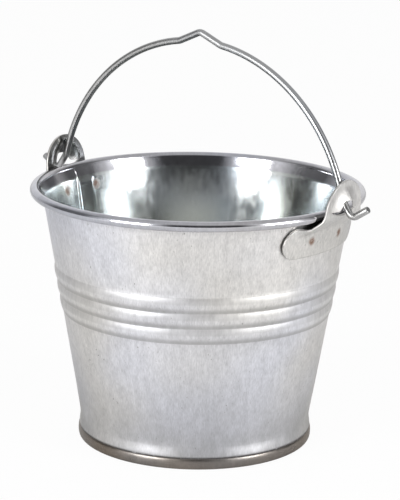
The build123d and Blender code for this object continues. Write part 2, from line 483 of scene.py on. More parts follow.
@dataclass(frozen=True)
class Zinc:
    """A galvanised steel surface.

    Attributes:
        name: the material's name.
        colour: the metal's main colour.
        dark: its colour in pits, and the colour of the shade painted low down and on the ribs.
        tints: two faint tints that drift over it.
        roughness: middle roughness.
        spread: how far roughness drifts.
        grain: strength of the drawn grain in colour.
        grain_depth: the grain's depth in millimetres.
        specks: strength of the small dark pits.
        patches: strength of the cloudy patches.
        mottling: strength of the small blotches.
        follows: which coordinate the grain follows.
        spots: centres of spot-weld marks, in millimetres.
        spot_size: their radius in millimetres.
        painted_low_shade: strength of the painted shade low down, under painted_low_shade_top,
            which stands in for the shadowed floor that the lower wall reflects.
        painted_low_shade_top: height in millimetres where the painted shade has faded.
        joint: height in millimetres of the joint at the foot, whose gap gets painted shade.
        ribs: the ribs' lowest height and pitch in millimetres and their number, for the shade
        painted on them.
    """

    name: str
    colour: Triple
    dark: Triple
    tints: tuple[Triple, Triple] = ((1.02, 1.0, 0.97), (0.97, 0.99, 1.03))
    roughness: float = 0.36
    spread: float = 0.10
    grain: float = 0.10
    grain_depth: float = 0.006
    specks: float = 0.6
    patches: float = 0.10
    mottling: float = 0.12
    follows: Grain = Grain.UNROLLED
    spots: tuple[Triple, ...] = ()
    spot_size: float = 1.1
    painted_low_shade: float = 0.0
    painted_low_shade_top: float = 12.0
    joint: float = 0.0
    ribs: Optional[tuple[float, float, int]] = None

    def patterns(self, graph: Graph) -> Patterns:
        """Lay out the noises that the finish is mixed from.

        Args:
            graph: the material's nodes.

        Returns:
            The noises.
        """
        place = graph.place()
        run = graph.sheet() if self.follows is Grain.UNROLLED else place
        pits = graph.noise(graph.stretched(place, PIT_SCALE), 1.0, 1.0).ramp(0.70, 0.80)
        return Patterns(
            place=place,
            fine=graph.noise(graph.stretched(run, FINE_GRAIN[self.follows]), 1.0, 3.0, 0.6),
            wide=graph.noise(graph.stretched(run, WIDE_GRAIN[self.follows]), 1.0, 2.0, 0.5),
            cloud=graph.noise(place, CLOUD_SCALE, 3.0, 0.55),
            mottle=graph.noise(graph.stretched(place, MOTTLE_SCALE), 1.0, 3.0, 0.6),
            drift=graph.noise(place, DRIFT_SCALE, 1.0),
            pits=pits * graph.noise(place, PIT_GROUP_SCALE, 1.0).ramp(0.48, 0.66),
        )

    def metal(self, graph: Graph, seen: Patterns) -> bpy.types.NodeSocket:
        """Mix the bare metal: its colour times a drifting tint and a shade, with dark pits.

        The shade is one plus the grain, the clouds and the blotches, each taken from its middle
        and multiplied by its strength.

        Args:
            graph: the material's nodes.
            seen: the finish's noises.

        Returns:
            The colour.
        """
        streak = (seen.fine - 0.5) * (1.9 * self.grain) + (seen.wide - 0.5) * (0.45 * self.grain)
        shade = (1.0 + streak + (seen.cloud - 0.5) * (2.0 * self.patches)
                 + (seen.mottle - 0.5) * (2.0 * self.mottling))
        tone = graph.mix(seen.drift.ramp(0.30, 0.70), self.tints[0], self.tints[1])
        colour = graph.mix(1.0, self.colour, tone, "MULTIPLY")
        grey = graph.node("ShaderNodeCombineColor", {}, {0: shade, 1: shade, 2: shade}).socket(0)
        colour = graph.mix(1.0, colour, grey, "MULTIPLY")
        return graph.mix(seen.pits * self.specks, colour, self.dark)

    def paint_low_shade(self, graph: Graph, seen: Patterns,
              colour: bpy.types.NodeSocket) -> bpy.types.NodeSocket:
        """Paint shade into a colour low down, where the wall reflects the shadowed floor, and more
        in the gap of the joint at the foot.

        Args:
            graph: the material's nodes.
            seen: the finish's noises.
            colour: the colour to darken.

        Returns:
            The darkened colour.
        """
        height = graph.height()
        # Painted shade low down, fading out upwards and broken up by the clouds.
        free_of_low_shade = height.ramp(-0.3 * self.painted_low_shade_top * MM, self.painted_low_shade_top * MM)
        low = (1.0 - free_of_low_shade) * self.painted_low_shade
        colour = graph.mix(low * (seen.cloud.ramp(0.30, 0.70) * 0.5 + 0.5), colour, self.dark)
        # Painted shade in the gap between the wall and the foot ring, broken up by the blotches.
        above = height.ramp(self.joint * MM, (self.joint + JOINT_FADE) * MM)
        joint_shade = (1.0 - above) * seen.mottle.ramp(0.15, 0.5)
        return graph.mix(joint_shade * 0.9, colour, JOINT_SHADE)

    def paint_rib_shade(self, graph: Graph, seen: Patterns,
                colour: bpy.types.NodeSocket) -> bpy.types.NodeSocket:
        """Paint shade into a colour on the ribs: full on each rib's underside and weaker on its
        upper flank, which also dims its highlight.

        The height is counted in ribs, and the part of a rib that is left over says how near its
        lower edge is.

        Args:
            graph: the material's nodes.
            seen: the finish's noises.
            colour: the colour to darken.

        Returns:
            The darkened colour.
        """
        foot, pitch, count = self.ribs
        share = (graph.height() - foot * MM) * float(1.0 / (pitch * MM))
        within = share.ramp(-0.02, 0.02) * (1.0 - share.ramp(count - 0.04, count + 0.06))
        part = share.math("FRACT")
        # Painted shade: full on each rib's underside, less than half on its upper flank.
        rib_shade = (1.0 - part.ramp(0.10, 0.42)).largest(part.ramp(0.50, 0.66) * 0.45)
        broken = seen.fine.ramp(0.30, 0.62) * 0.22 + 0.22
        return graph.mix(rib_shade * within * broken, colour, self.dark)

    def marks(self, graph: Graph, seen: Patterns) -> Value:
        """Find the spot-weld marks: round spots, broken up by a noise.

        Args:
            graph: the material's nodes.
            seen: the finish's noises.

        Returns:
            The marks' strength.
        """
        core = 0.2 * self.spot_size
        mark = graph.near(self.spots[0], core, self.spot_size)
        for spot in self.spots[1:]:
            mark = mark.largest(graph.near(spot, core, self.spot_size))
        return mark * graph.noise(seen.place, MARK_SCALE, 2.0).ramp(0.20, 0.50)

    def make(self) -> bpy.types.Material:
        """Build the material.

        Returns:
            The new material.
        """
        material = bpy.data.materials.new(self.name)
        material.use_nodes = True
        graph = Graph(material.node_tree)
        seen = self.patterns(graph)
        colour = self.metal(graph, seen)
        drift = (seen.cloud - 0.5) * self.spread
        rough = self.roughness + drift + (seen.mottle - 0.5) * self.spread
        # Painted shade low down and in the joint at the foot.
        if self.painted_low_shade:
            colour = self.paint_low_shade(graph, seen, colour)
        # Painted shade on the ribs.
        if self.ribs:
            colour = self.paint_rib_shade(graph, seen, colour)
        if self.spots:
            mark = self.marks(graph, seen)
            colour = graph.mix(mark * 0.85, colour, WELD_BROWN)
            rough = rough + mark * 0.25
        height = seen.fine * 0.55 + seen.wide * 0.12 + seen.mottle * 0.22 - seen.pits * 0.8
        inputs = {
            "Base Color": colour,
            "Metallic": 1.0,
            "Roughness": rough,
            "Normal": graph.bump(height, self.grain_depth),
        }
        shader = graph.node("ShaderNodeBsdfPrincipled", {}, inputs)
        graph.node("ShaderNodeOutputMaterial", {}, {"Surface": shader.socket(0)})
        return material


# Degrees from the middle of an ear to each of its two welds.
WELD_TURN = 8.8


def weld_spots(radius: float, height: float) -> tuple[Triple, ...]:
    """Return the centres of the two spot welds at each ear.

    Args:
        radius: distance from the bucket's axis, in millimetres.
        height: height above the surface, in millimetres.

    Returns:
        Four points.
    """
    turns = [side + step for side in (0.0, 180.0) for step in (-WELD_TURN, WELD_TURN)]
    return tuple((radius * np.cos(turn), radius * np.sin(turn), height)
                 for turn in np.radians(turns))


# ---------------------------------------------------------------- sizes shared by the pieces

@dataclass
class Plan:
    """Sizes in millimetres that several pieces share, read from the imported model.

    Attributes:
        sheet: thickness of the wall's sheet.
        bottom_sheet: thickness of the bottom.
        fit_gap: clearance between seated sheets.
        foot_wall: the foot ring's sheet outside the wall.
        crease_height: height where the taper starts.
        flare_drop: from the rim wire's centre down to the turn out to the rim.
        flare_run: from the rim wire's centre in to the wall at that turn.
        rim_outer: radius of the rim's outer face.
        rim_wire: diameter of the wire in the rim.
        rim_radius: radius of that wire's middle line.
        wall_height: height of that line.
        foot_radius: outer radius of the foot ring.
        foot_height: height of the foot ring.
        swing_height: height of the bail's swing axis.
    """

    sheet: float = 0.45
    bottom_sheet: float = 0.5
    fit_gap: float = 0.05
    foot_wall: float = 0.9
    crease_height: float = 8.2
    flare_drop: float = 2.9
    flare_run: float = 2.9
    rim_outer: float = field(init=False)
    rim_wire: float = field(init=False)
    rim_radius: float = field(init=False)
    wall_height: float = field(init=False)
    foot_radius: float = field(init=False)
    foot_height: float = field(init=False)
    swing_height: float = field(init=False)

    def __post_init__(self) -> None:
        """Read the rim, the foot and the swing axis from the frame."""
        wire_low, wire_high = (Vector(corner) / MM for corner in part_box("rim_wire"))
        foot_high = Vector(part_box("foot_ring")[1]) / MM
        self.rim_wire = wire_high.z - wire_low.z
        self.wall_height = (wire_high.z + wire_low.z) / 2.0
        self.rim_radius = wire_high.x - self.rim_wire / 2.0
        self.rim_outer = self.rim_radius + self.curl_outer
        self.foot_radius, self.foot_height = foot_high.x, foot_high.z
        self.swing_height = frame["joints"][0]["pos_m"][2] / MM

    @property
    def curl_inner(self) -> float:
        """Radius of the curl's inner face round its wire."""
        return self.rim_wire / 2.0 + self.fit_gap

    @property
    def curl_outer(self) -> float:
        """Radius of the curl's outer face."""
        return self.curl_inner + self.sheet

    @property
    def crease_radius(self) -> float:
        """Outer radius of the wall at the crease."""
        return self.foot_radius - self.foot_wall - self.fit_gap

    @property
    def flare_height(self) -> float:
        """Height where the wall turns out to the rim."""
        return self.wall_height - self.flare_drop

    def wall_radius(self, height: Union[float, Array]) -> Union[float, Array]:
        """Return the tapered wall's outer radius at a height."""
        top = self.rim_radius - self.flare_run
        taper = (top - self.crease_radius) / (self.flare_height - self.crease_height)
        return self.crease_radius + taper * (height - self.crease_height)


# ---------------------------------------------------------------- body

# The waver's waves: size, count round the wall, shift and climb.
WAVER = ((1.0, 2, 0.7, 2.0), (0.7, 3, -1.1, -3.0), (0.55, 5, 2.0, 7.0), (0.35, 9, 0.0, 11.0))

# The wall's mean radius as a share of the rim's, for its unrolled width.
MEAN_RADIUS = 0.84


@dataclass
class Body:
    """The wall with its ribs, seam and rolled rim, the bottom and the foot ring.

    Attributes:
        plan: shared sizes.
        turns: columns round the bucket.
        rib_count: number of ribs.
        rib_pitch: height of one rib.
        rib_rise: how far a rib stands out.
        rib_drop: from the rim wire's centre down to the ribs' upper edge.
        lap_width: overlap of the side seam.
        lap_edge: degrees from +X to the seam's inner edge.
        curl_sweep: degrees that the curl turns.
        waver: how far the hand-made wall strays from a true cone.
        foot_flare: how far the wall spreads just above the foot ring.
        flare_start: from the crease up to where that spread starts.
        foot_ease: height inside the ring's top over which the wall turns upright.
        crease_blend: size of the rounding at the crease.
        foot_sheet: thickness of the foot ring under the wall.
        bottom_height: height of the bottom's under side.
        corner_bend: radius of the bottom's turned-down edge.
        ring_depth: depth of the ring pressed into the bottom.
        mark_height: height of the weld marks inside.
        mark_wall: height at which the wall's radius is taken for them.
    """

    plan: Plan
    turns: int = 308
    rib_count: int = 3
    rib_pitch: float = 5.7
    rib_rise: float = 0.50
    rib_drop: float = 26.8
    lap_width: float = 8.0
    lap_edge: float = 181.2
    curl_sweep: float = 310.0
    waver: float = 0.07
    foot_flare: float = 0.55
    flare_start: float = 0.8
    foot_ease: float = 1.2
    crease_blend: float = 0.35
    foot_sheet: float = 0.6
    bottom_height: float = 3.2
    corner_bend: float = 0.6
    ring_depth: float = 0.35
    mark_height: float = 84.5
    mark_wall: float = 86.0

    @property
    def ribs_top(self) -> float:
        """Height of the ribs' upper edge."""
        return self.plan.wall_height - self.rib_drop

    @property
    def ribs_foot(self) -> float:
        """Height of the ribs' lower edge."""
        return self.ribs_top - self.rib_count * self.rib_pitch

    @property
    def lap(self) -> float:
        """Degrees from +X to the seam's outer edge."""
        return self.lap_edge - np.degrees(self.lap_width / self.plan.rim_radius)

    def rib(self, height: Array) -> Array:
        """Return how far the ribs stand out.

        A rib's rise is one minus the square of the way from its middle to its edge.

        Args:
            height: heights above the surface.

        Returns:
            The rise at each height.
        """
        share = (height - self.ribs_top) / self.rib_pitch + self.rib_count
        inside = (share > 0.0) & (share < self.rib_count)
        way = 2.0 * (share - np.floor(share)) - 1.0
        return np.where(inside, self.rib_rise * (1.0 - way * way), 0.0)

    def side(self, inset: float) -> Array:
        """Return one face of the wall from the foot to the turn below the rim.

        The line follows the taper, plus the ribs, minus the inset. Below the crease it spreads a
        little to the foot ring's top and is upright inside the ring.

        Args:
            inset: distance in from the outer face.

        Returns:
            Radius and height of each point.
        """
        plan = self.plan
        ease = plan.foot_height - self.foot_ease
        height = np.concatenate([
            np.linspace(self.foot_sheet + plan.fit_gap, ease, 4),
            np.linspace(ease, plan.crease_height, 18)[1:],
            np.linspace(plan.crease_height, self.ribs_foot, 26)[1:],
            np.linspace(self.ribs_foot, self.ribs_top, 16 * self.rib_count + 1)[1:],
            np.linspace(self.ribs_top, plan.flare_height, 18)[1:],
        ])
        upright = np.full_like(height, plan.crease_radius)
        radius = soft_max(plan.wall_radius(height), upright, self.crease_blend)
        spread = smoothstep(plan.crease_height + self.flare_start, plan.foot_height, height)
        spread = spread * (1.0 - smoothstep(plan.foot_height, ease, height))
        radius = radius + self.foot_flare * spread
        return np.stack([radius + self.rib(height) - inset, height], axis=1)

    def profile(self) -> tuple[Array, Array]:
        """Return the wall's closed section.

        Returns:
            Radius and height of each point, and the slot of the stretch after it: 0 outside,
            1 rim, 2 inside.
        """
        plan = self.plan
        centre = (plan.rim_radius, plan.wall_height)
        end = 180.0 - self.curl_sweep
        outer = self.side(0.0)
        inner = self.side(plan.sheet)[::-1]
        roll_in = arc(centre, plan.curl_inner, 180.0, end, 36)
        roll_out = arc(centre, plan.curl_outer, end, 180.0, 48)
        points = np.concatenate([outer, roll_in, roll_out, inner])
        slots = np.concatenate([np.zeros(len(outer)), np.ones(len(roll_in) + len(roll_out)),
                                np.full(len(inner), 2.0)])
        return points, slots

    def columns(self) -> Array:
        """Space the columns evenly round the wall, with more of them at the side seam.

        Returns:
            The columns' angles in degrees.
        """
        even = np.linspace(self.lap_edge - 360.0, self.lap_edge, self.turns, endpoint=False)
        near = np.concatenate([self.lap_edge + np.array([-0.16, -0.08, -0.03]),
                               self.lap + np.array([-0.5, -0.25, -0.08, 0.08, 0.25])])
        return np.sort(np.concatenate([even, near]))

    def seam(self, angle: Array, height: Array, inside: Array) -> Array:
        """Return how far the side seam moves each point out.

        Inside, the upper layer stands one sheet in, sharply at its edge and softly at the
        other side. Outside, the wall drops one sheet just before the outer layer's edge and
        climbs back over a few millimetres.

        Args:
            angle: columns' angles in degrees.
            height: rows' heights.
            inside: which rows are on the inner face.

        Returns:
            Rows by columns of radial moves.
        """
        plan, lap = self.plan, self.lap
        layer = smoothstep(lap - 1.6, lap + 0.4, angle)
        layer = layer * (1.0 - smoothstep(self.lap_edge - 0.1, self.lap_edge, angle))
        drop = np.where(angle < lap, np.exp((angle - lap) / 2.2), 0.0)
        span = smoothstep(plan.crease_height - 1.0, plan.crease_height + 2.0, height)
        span = span * (1.0 - smoothstep(plan.flare_height - 1.0, plan.flare_height + 0.4, height))
        return -plan.sheet * span[:, None] * np.where(inside[:, None], layer, 0.55 * drop)

    def strays(self, angle: Array, height: Array) -> Array:
        """Return the wall's gentle waver: a few low waves round it that fade at rim and foot.

        Each wave is its size times the cosine of its count times the angle, plus its shift, plus
        its climb times the height's share of the wall.

        Args:
            angle: columns' angles in degrees.
            height: rows' heights.

        Returns:
            Rows by columns of radial moves.
        """
        turn = np.radians(angle)[None, :]
        rise = (height / self.plan.wall_height)[:, None]
        waves = sum(size * np.cos(count * turn + shift + climb * rise)
                    for size, count, shift, climb in WAVER)
        fade = smoothstep(0.10, 0.25, rise) * (1.0 - smoothstep(0.88, 0.96, rise))
        return self.waver * waves * fade

    def build_wall(self) -> bpy.types.Object:
        """Build the wall: its section turned about Z, with the seam and the waver added.

        Returns:
            The wall.
        """
        points, slots = self.profile()
        angle = self.columns()
        level = points[:, 1]
        radius = points[:, :1] + self.seam(angle, level, slots == 2) + self.strays(angle, level)
        turn = np.radians(angle)[None, :]
        height = np.broadcast_to(points[:, 1:], radius.shape)
        grid = np.stack([radius * np.cos(turn), radius * np.sin(turn), height], axis=2)
        closed = np.concatenate([points, points[:1]])
        full_turn = np.radians(np.concatenate([angle, [angle[0] + 360.0]]))
        around = full_turn * self.plan.rim_radius * MEAN_RADIUS
        return Surface(grid, wraps_rows=True, wraps_columns=True,
                       slots=np.broadcast_to(slots[:, None], radius.shape),
                       unroll=(path_length(closed), around)).build("wall_sheet")

    def turned(self, name: str, section: Array) -> bpy.types.Object:
        """Turn a section that starts and ends on the axis, or closes on itself, about Z.

        Args:
            name: the piece's name.
            section: radius and height of each point, in order.

        Returns:
            The piece.
        """
        columns = 256
        angle = np.radians(np.linspace(0.0, 360.0, columns, endpoint=False))[None, :]
        radius = section[:, :1] * np.ones_like(angle)
        height = section[:, 1:] * np.ones_like(angle)
        grid = np.stack([radius * np.cos(angle), radius * np.sin(angle), height], axis=2)
        around = np.linspace(0.0, 2.0 * np.pi, columns + 1) * self.plan.foot_radius
        on_axis = bool(abs(section[0, 0]) < 1e-9)
        along = path_length(section if on_axis else np.concatenate([section, section[:1]]))
        piece = Surface(grid, wraps_rows=not on_axis, wraps_columns=True,
                        unroll=(along, around)).build(name)
        join_doubles(piece)
        return piece

    def build_bottom(self) -> bpy.types.Object:
        """Build the bottom: a disc with a shallow pressed ring and its edge turned down.

        Returns:
            The bottom.
        """
        plan = self.plan
        edge = plan.crease_radius - plan.sheet - plan.fit_gap
        top = self.bottom_height + plan.bottom_sheet
        foot = self.foot_sheet + plan.fit_gap
        bend = self.corner_bend
        radius = np.linspace(0.0, edge - bend, 60)
        ring = self.ring_depth * (smoothstep(edge - 8.5, edge - 7.0, radius) - 1.0)
        upper = np.stack([radius, top + ring], axis=1)
        lower = np.stack([radius, top + ring - plan.bottom_sheet], axis=1)[::-1]
        lower[:, 0] = np.minimum(lower[:, 0], edge - plan.bottom_sheet)
        corner = arc((edge - bend, top - bend), bend, 90.0, 0.0, 8)
        skirt = np.array([[edge, foot], [edge - plan.bottom_sheet, foot]])
        return self.turned("bottom_sheet", np.concatenate([upper, corner[1:], skirt, lower])[::-1])

    def build_foot(self) -> bpy.types.Object:
        """Build the foot ring: a channel with a rounded roll outside the wall.

        The roll's way out is the foot's sheet times a power of the cosine of its angle, and its
        height follows the sine.

        Returns:
            The foot ring.
        """
        plan = self.plan
        inner = plan.crease_radius - plan.sheet - plan.bottom_sheet - 2 * plan.fit_gap
        lip = inner - self.foot_sheet
        seat = plan.crease_radius + plan.fit_gap
        roll = np.radians(np.linspace(90.0, -78.0, 26))
        bulge = np.stack([seat + plan.foot_wall * np.cos(roll) ** 0.55 * (np.cos(roll) > 0),
                          plan.foot_height * (0.5 + 0.5 * np.sin(roll))], axis=1)
        section = np.concatenate([
            [[seat, self.foot_sheet], [seat, plan.foot_height - 0.15]],
            bulge,
            [[seat - 0.2, 0.0], [lip + 0.25, 0.0], [lip, 0.25],
             [lip, self.bottom_height - plan.fit_gap],
             [inner, self.bottom_height - plan.fit_gap], [inner, self.foot_sheet]],
        ])[::-1]
        return self.turned("foot_roll", section)

    def build(self) -> None:
        """Build and dress the wall, bottom, foot ring and the wire inside the rim."""
        plan = self.plan
        spots = weld_spots(plan.wall_radius(self.mark_wall) - plan.sheet, self.mark_height)
        # The ribs' heights, for the shade painted on them.
        ribs = (self.ribs_foot, self.rib_pitch, self.rib_count)
        # The outside's colour carries painted shade low down, in the joint at the foot and on the
        # ribs.
        outside = Zinc("zinc_outside", (0.70, 0.704, 0.722), (0.18, 0.175, 0.155), roughness=0.45,
                       spread=0.16, grain=0.34, patches=0.11, mottling=0.20, grain_depth=0.018,
                       specks=0.85, painted_low_shade=0.72, painted_low_shade_top=52.0, joint=4.0, ribs=ribs,
                       tints=((1.03, 1.0, 0.94), (0.98, 0.985, 1.03)))
        rim = Zinc("zinc_rim", (0.56, 0.56, 0.59), (0.10, 0.09, 0.10), roughness=0.12, spread=0.10,
                   grain=0.16, patches=0.20, grain_depth=0.003)
        inside = Zinc("zinc_inside", (0.60, 0.62, 0.635), (0.20, 0.17, 0.13), roughness=0.17,
                      spread=0.18, grain=0.08, patches=0.20, grain_depth=0.010, specks=0.4,
                      tints=((1.05, 1.02, 0.91), (0.91, 0.98, 1.06)), spots=spots, spot_size=2.9)
        # Foot ring: its own brownish tone, darkened further as a painted dark reflection.
        ring = Zinc("zinc_foot_painted_shade", (0.225, 0.207, 0.192), (0.05, 0.042, 0.04), roughness=0.33,
                    spread=0.24, grain=0.20, patches=0.30,
                    tints=((1.12, 1.0, 0.85), (0.95, 0.98, 1.02)))
        wall = self.build_wall()
        for finish in (outside, rim, inside):
            wall.data.materials.append(finish.make())
        add_piece(wall, "bucket", "bucket_wall")
        bottom = self.build_bottom()
        bottom.data.materials.append(wall.data.materials[2])
        add_piece(bottom, "bucket", "bottom_disc")
        foot = self.build_foot()
        foot.data.materials.append(ring.make())
        add_piece(foot, "bucket", "foot_ring")
        wire = frame["nodes"]["rim_wire"]
        wire.data.materials.clear()
        wire.data.materials.append(Zinc("steel_rim_wire", (0.42, 0.41, 0.40), (0.1, 0.09, 0.08),
                                        follows=Grain.ON_PLACE, grain=0.1).make())
        log.info("dressed %s", wire.name)


# ---------------------------------------------------------------- ears

@dataclass
class Ear:
    """A stamped ear: a band welded to the wall and a stepped tab with a pressed hood.

    Attributes:
        plan: shared sizes.
        name: the piece's name.
        node: the CAD node it stands for.
        side: 1 at +X and -1 at -X.
        thickness: the ear's sheet.
        band_length: length of the band across the ear.
        band_height: height of the band.
        band_drop: from the rim wire's centre down to the band's middle.
        step_drop: from there down to where the tab steps out.
        tab_foot_drop: from there down to where the tab starts.
        tab_lean: degrees that the tab leans out.
        tab_radius: radius of the tab's round head.
        tab_rise: from the rim wire's centre up to the head's middle.
        tab_root_width: width of the tab's root.
        rim_clearance: from the rim out to the tab.
        hood_radius: half the hood's width.
        hood_depth: how far the hood stands out.
        ridge: height and offset of the ridge up the hood's middle.
        end_lift: how far the band's ends stand off the wall.
        lift_start: distance from the ear's middle where they start to.
        lip_rise: from the swing axis up to the hood's lip at the wire's notch.
        lip_dip: from the swing axis down to the lip beside the notch.
        notch: distances from the ear's middle over which the notch closes.
        slot_drop: from the swing axis down to the slot's lowest point.
        tab_blend: size of the rounding where the step meets the tab.
        wall_blend: size of the rounding where the band meets the step.
        strip_rows: rows of the band and root, of the slot and of the hood.
        row_step: distance between rows on the UV map.
    """

    plan: Plan
    name: str
    node: str
    side: int
    thickness: float = 0.8
    band_length: float = 42.0
    band_height: float = 10.8
    band_drop: float = 9.1
    step_drop: float = 4.9
    tab_foot_drop: float = 0.9
    tab_lean: float = 6.0
    tab_radius: float = 10.8
    tab_rise: float = 1.3
    tab_root_width: float = 29.0
    rim_clearance: float = 0.7
    hood_radius: float = 8.3
    hood_depth: float = 2.2
    ridge: Pair = (0.75, 0.6)
    end_lift: float = 0.6
    lift_start: float = 12.5
    lip_rise: float = 2.9
    lip_dip: float = 0.3
    notch: Pair = (2.2, 4.4)
    slot_drop: float = 2.1
    tab_blend: float = 0.9
    wall_blend: float = 0.7
    strip_rows: tuple[int, int, int] = (54, 8, 40)
    row_step: float = 0.27

    def band_edge(self, across: Array) -> Array:
        """Return half the band's height across it: the root of one minus a square at each end.

        Args:
            across: distance from the ear's middle.

        Returns:
            Half the height at each distance.
        """
        half = self.band_height / 2.0
        past = np.clip((np.abs(across) - (self.band_length / 2.0 - half)) / half, 0.0, 1.0)
        return half * np.sqrt(1.0 - past * past)

    def tab_edge(self, across: Array) -> Array:
        """Return the tab's upper outline: a round head on a root that spreads.

        Args:
            across: distance from the ear's middle.

        Returns:
            The outline's height at each distance.
        """
        head = self.plan.wall_height + self.tab_rise
        away = np.abs(across)
        round_head = head + np.sqrt(np.clip(self.tab_radius**2 - away**2, 0.0, None))
        run = self.tab_root_width / 2.0 - self.tab_radius
        fall = head - self.plan.wall_height + 2 * self.step_drop - self.tab_foot_drop
        root = head - (away - self.tab_radius) / run * fall
        return np.where(away <= self.tab_radius, round_head, root)

    def face(self, across: Array, height: Array, hooded: Array) -> Array:
        """Return how far out the ear's inner face stands.

        The band follows the wall's cone. Above it a ramp leads out past the rim, and the tab
        leans away from there. The three join with rounded bends. The hood is a cap pressed out
        by a squared cosine of the distance from the swing axis, with a ridge up its middle. The
        band's ends stand a little off the wall.

        Args:
            across: distance from the ear's middle.
            height: height above the surface.
            hooded: which points belong to the hood.

        Returns:
            Distance along X.
        """
        plan = self.plan
        skin = plan.wall_radius(height) + plan.fit_gap
        cone = np.sqrt(np.clip(skin**2 - across**2, 0.0, None))
        step = plan.wall_height - self.step_drop
        foot = plan.wall_height - self.tab_foot_drop
        reach = plan.rim_outer + self.rim_clearance
        start = plan.wall_radius(step) + plan.fit_gap
        ramp = start + (height - step) * (reach - start) / (foot - step)
        tab = reach + (height - foot) * np.tan(np.radians(self.tab_lean))
        rise = soft_min(ramp, tab, self.tab_blend)
        away = np.abs(across)
        near = 1.0 - smoothstep(self.tab_radius + 1.5, self.tab_root_width / 2.0 + 2.0, away)
        sheet = cone + near * (soft_max(cone, rise, self.wall_blend) - cone)
        reach_of_hood = float(np.hypot(self.hood_radius, self.lip_rise))
        share = np.clip(np.hypot(across, height - plan.swing_height) / reach_of_hood, 0.0, 1.0)
        cap = np.cos(0.5 * np.pi * share) ** 2
        height_of_ridge, offset = self.ridge
        ridge = height_of_ridge * np.exp(-np.abs(across - offset) / 3.0)
        ridge = ridge * smoothstep(0.0, 0.6, 1.0 - share)
        lifted = self.end_lift * smoothstep(self.lift_start, self.band_length / 2.0, away)
        return sheet + lifted + hooded * (self.hood_depth * cap + ridge)

    def columns(self) -> Array:
        """Space the columns across the ear, close together at round ends and corners.

        Returns:
            Their distances from the ear's middle.
        """
        quarter = np.linspace(0.0, np.pi / 2.0, 26)
        half = self.band_height / 2.0
        head = self.tab_radius * np.sin(np.linspace(0.0, np.pi / 2.0, 64))
        root = np.linspace(self.tab_radius, self.band_length / 2.0 - half, 22)[1:]
        end = self.band_length / 2.0 - half + half * np.sin(quarter)[1:]
        hood_edge = self.hood_radius + np.array([-0.01, 0.01])
        right = np.concatenate([head, hood_edge, root, end])
        right = np.unique(np.round(right, 4))
        return np.concatenate([-right[:0:-1], right])

    def build(self) -> bpy.types.Object:
        """Build the ear as three stacked strips, with the slot left out of the middle one.

        Returns:
            The ear, given its thickness by a modifier.
        """
        plan = self.plan
        across = self.columns()
        band = plan.wall_height - self.band_drop
        low = band - self.band_edge(across)
        band_top = band + self.band_edge(across)
        high = np.maximum(soft_max(band_top, self.tab_edge(across), 0.5), low)
        in_hood = np.abs(across) < self.hood_radius
        arch = (across / self.hood_radius) ** 2
        slot = plan.swing_height - np.where(in_hood, self.slot_drop * (1.0 - arch), 0.0)
        slot = np.minimum(slot, high)
        notch = 1.0 - smoothstep(*self.notch, np.abs(across))
        lip = plan.swing_height - self.lip_dip + (self.lip_rise + self.lip_dip) * notch
        levels = [low, slot, np.clip(lip, slot, high), high]
        rows, hooded, middle = [], [], []
        for index, (start, end, count) in enumerate(zip(levels, levels[1:], self.strip_rows)):
            share = np.linspace(0.0, 1.0, count)[:, None]
            rows.append(start + (end - start) * share)
            hooded.append(np.full(count, index == 2))
            middle.append(np.full(count, index))
        height = np.concatenate(rows)
        strip = np.concatenate(middle)
        sheet = np.broadcast_to(across, height.shape)
        out = self.face(sheet, height, np.concatenate(hooded)[:, None] * in_hood)
        points = np.stack([self.side * out, self.side * sheet, height], axis=2)
        keep = (strip[:-1] == strip[1:])[:, None] & np.ones((1, len(across) - 1), bool)
        open_slot = (strip[:-1] == 1)[:, None] & (in_hood[:-1] & in_hood[1:])[None, :]
        tall = np.diff(height, axis=0)
        keep &= ~open_slot & (np.maximum(tall[:, :-1], tall[:, 1:]) > 1e-5)
        along = np.concatenate([[0.0], np.cumsum(np.full(len(strip) - 1, self.row_step))])
        ear = Surface(points, keep=keep, unroll=(along, across)).build(self.name)
        join_doubles(ear, 2e-6)
        solid = ear.modifiers.new("thickness", "SOLIDIFY")
        solid.thickness = self.thickness * MM
        solid.offset = 1.0
        # The back face takes the second material: the same zinc painted darker as shade.
        solid.material_offset = 1
        return ear

    def dress(self) -> None:
        """Build the ear, give it its finish and let it ride on the bucket."""
        ear = self.build()
        height = self.plan.wall_height - self.band_drop
        radius = self.plan.wall_radius(height) + self.thickness
        outer = Zinc(f"zinc_{self.name}", (0.66, 0.655, 0.645), (0.19, 0.17, 0.16), roughness=0.46,
                     spread=0.12, grain=0.36, patches=0.12, mottling=0.16, grain_depth=0.016,
                     follows=Grain.ON_PLACE, spots=weld_spots(radius, height), spot_size=2.3)
        # The ear's back face: the same zinc painted far darker, as painted shade.
        inner = Zinc(f"painted_shade_zinc_{self.name}", (0.25, 0.25, 0.245), (0.08, 0.07, 0.06),
                     roughness=0.24, spread=0.12, grain=0.2, patches=0.2, follows=Grain.ON_PLACE)
        for finish in (outer, inner):
            ear.data.materials.append(finish.make())
        add_piece(ear, "bucket", self.node)


# ---------------------------------------------------------------- bail

